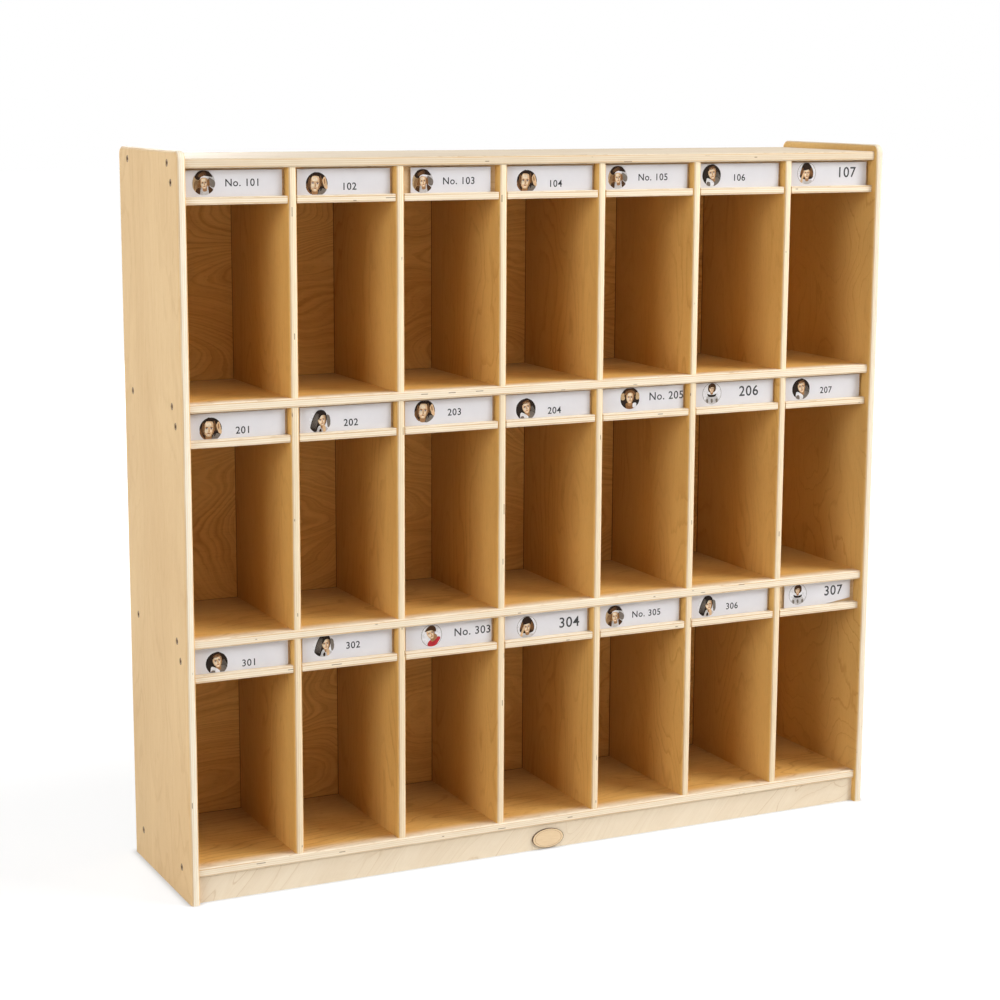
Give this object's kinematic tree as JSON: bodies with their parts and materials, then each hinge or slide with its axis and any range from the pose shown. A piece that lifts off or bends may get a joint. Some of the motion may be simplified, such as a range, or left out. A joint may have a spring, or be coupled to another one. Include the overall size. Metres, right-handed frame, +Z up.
{
  "type": "cubby storage locker",
  "caption": "Open plywood cubby locker: a grid of deep pigeonholes between side panels, each with a name rail that holds a lift-out card, on a low plinth.",
  "frame": {"origin": "on the floor at the middle of the locker's width and depth", "axes": "+Z up, width along X, the open front faces -Y"},
  "size_m": [1.296, 0.304, 1.202],
  "materials": {
    "birch_ply": "clear satin lacquer on birch plywood",
    "back_ply": "clear satin lacquer on birch plywood",
    "rail_ply": "clear satin lacquer on birch plywood",
    "card_stock": "matt white printed card",
    "bronze_screw": "dark bronzed",
    "zinc_screw": "zinc plated",
    "beech_dowel": "raw",
    "plaque_wood": "raw with a scorched edge"
  },
  "bodies": {
    "carcase": {"left_side_panel": "birch_ply", "right_side_panel": "birch_ply", "bottom_panel": "birch_ply", "lower_shelf": "birch_ply", "upper_shelf": "birch_ply", "top_panel": "birch_ply", "back_panel": "back_ply", "front_plinth": "birch_ply", "rear_plinth": "birch_ply", "divider_lower_1": "birch_ply", "divider_lower_2": "birch_ply", "divider_lower_3": "birch_ply", "divider_lower_4": "birch_ply", "divider_lower_5": "birch_ply", "divider_lower_6": "birch_ply", "divider_middle_1": "birch_ply", "divider_middle_2": "birch_ply", "divider_middle_3": "birch_ply", "divider_middle_4": "birch_ply", "divider_middle_5": "birch_ply", "divider_middle_6": "birch_ply", "divider_upper_1": "birch_ply", "divider_upper_2": "birch_ply", "divider_upper_3": "birch_ply", "divider_upper_4": "birch_ply", "divider_upper_5": "birch_ply", "divider_upper_6": "birch_ply", "name_boards_lower": "rail_ply", "name_boards_middle": "rail_ply", "name_boards_upper": "rail_ply", "card_ledges_lower": "rail_ply", "card_ledges_middle": "rail_ply", "card_ledges_upper": "rail_ply", "side_screws": "bronze_screw", "back_screws": "zinc_screw", "wooden_dowels": "beech_dowel", "rail_dowels": "beech_dowel", "plaque": "plaque_wood"},
    "card_lower_1": {"name_card_lower_1": "card_stock"},
    "card_lower_2": {"name_card_lower_2": "card_stock"},
    "card_lower_3": {"name_card_lower_3": "card_stock"},
    "card_lower_4": {"name_card_lower_4": "card_stock"},
    "card_lower_5": {"name_card_lower_5": "card_stock"},
    "card_lower_6": {"name_card_lower_6": "card_stock"},
    "card_lower_7": {"name_card_lower_7": "card_stock"},
    "card_middle_1": {"name_card_middle_1": "card_stock"},
    "card_middle_2": {"name_card_middle_2": "card_stock"},
    "card_middle_3": {"name_card_middle_3": "card_stock"},
    "card_middle_4": {"name_card_middle_4": "card_stock"},
    "card_middle_5": {"name_card_middle_5": "card_stock"},
    "card_middle_6": {"name_card_middle_6": "card_stock"},
    "card_middle_7": {"name_card_middle_7": "card_stock"},
    "card_upper_1": {"name_card_upper_1": "card_stock"},
    "card_upper_2": {"name_card_upper_2": "card_stock"},
    "card_upper_3": {"name_card_upper_3": "card_stock"},
    "card_upper_4": {"name_card_upper_4": "card_stock"},
    "card_upper_5": {"name_card_upper_5": "card_stock"},
    "card_upper_6": {"name_card_upper_6": "card_stock"},
    "card_upper_7": {"name_card_upper_7": "card_stock"}
  },
  "joints": [
    {"name": "lift_lower_1", "type": "slide", "parent": "carcase", "child": "card_lower_1", "axis": [0, 0, 1], "range_m": [0, 0.0031]},
    {"name": "lift_lower_2", "type": "slide", "parent": "carcase", "child": "card_lower_2", "axis": [0, 0, 1], "range_m": [0, 0.0031]},
    {"name": "lift_lower_3", "type": "slide", "parent": "carcase", "child": "card_lower_3", "axis": [0, 0, 1], "range_m": [0, 0.0031]},
    {"name": "lift_lower_4", "type": "slide", "parent": "carcase", "child": "card_lower_4", "axis": [0, 0, 1], "range_m": [0, 0.0031]},
    {"name": "lift_lower_5", "type": "slide", "parent": "carcase", "child": "card_lower_5", "axis": [0, 0, 1], "range_m": [0, 0.0031]},
    {"name": "lift_lower_6", "type": "slide", "parent": "carcase", "child": "card_lower_6", "axis": [0, 0, 1], "range_m": [0, 0.0031]},
    {"name": "lift_lower_7", "type": "slide", "parent": "carcase", "child": "card_lower_7", "axis": [0, 0, 1], "range_m": [0, 0.0031]},
    {"name": "lift_middle_1", "type": "slide", "parent": "carcase", "child": "card_middle_1", "axis": [0, 0, 1], "range_m": [0, 0.0031]},
    {"name": "lift_middle_2", "type": "slide", "parent": "carcase", "child": "card_middle_2", "axis": [0, 0, 1], "range_m": [0, 0.0031]},
    {"name": "lift_middle_3", "type": "slide", "parent": "carcase", "child": "card_middle_3", "axis": [0, 0, 1], "range_m": [0, 0.0031]},
    {"name": "lift_middle_4", "type": "slide", "parent": "carcase", "child": "card_middle_4", "axis": [0, 0, 1], "range_m": [0, 0.0031]},
    {"name": "lift_middle_5", "type": "slide", "parent": "carcase", "child": "card_middle_5", "axis": [0, 0, 1], "range_m": [0, 0.0031]},
    {"name": "lift_middle_6", "type": "slide", "parent": "carcase", "child": "card_middle_6", "axis": [0, 0, 1], "range_m": [0, 0.0031]},
    {"name": "lift_middle_7", "type": "slide", "parent": "carcase", "child": "card_middle_7", "axis": [0, 0, 1], "range_m": [0, 0.0031]},
    {"name": "lift_upper_1", "type": "slide", "parent": "carcase", "child": "card_upper_1", "axis": [0, 0, 1], "range_m": [0, 0.0031]},
    {"name": "lift_upper_2", "type": "slide", "parent": "carcase", "child": "card_upper_2", "axis": [0, 0, 1], "range_m": [0, 0.0031]},
    {"name": "lift_upper_3", "type": "slide", "parent": "carcase", "child": "card_upper_3", "axis": [0, 0, 1], "range_m": [0, 0.0031]},
    {"name": "lift_upper_4", "type": "slide", "parent": "carcase", "child": "card_upper_4", "axis": [0, 0, 1], "range_m": [0, 0.0031]},
    {"name": "lift_upper_5", "type": "slide", "parent": "carcase", "child": "card_upper_5", "axis": [0, 0, 1], "range_m": [0, 0.0031]},
    {"name": "lift_upper_6", "type": "slide", "parent": "carcase", "child": "card_upper_6", "axis": [0, 0, 1], "range_m": [0, 0.0031]},
    {"name": "lift_upper_7", "type": "slide", "parent": "carcase", "child": "card_upper_7", "axis": [0, 0, 1], "range_m": [0, 0.0031]}
  ]
}
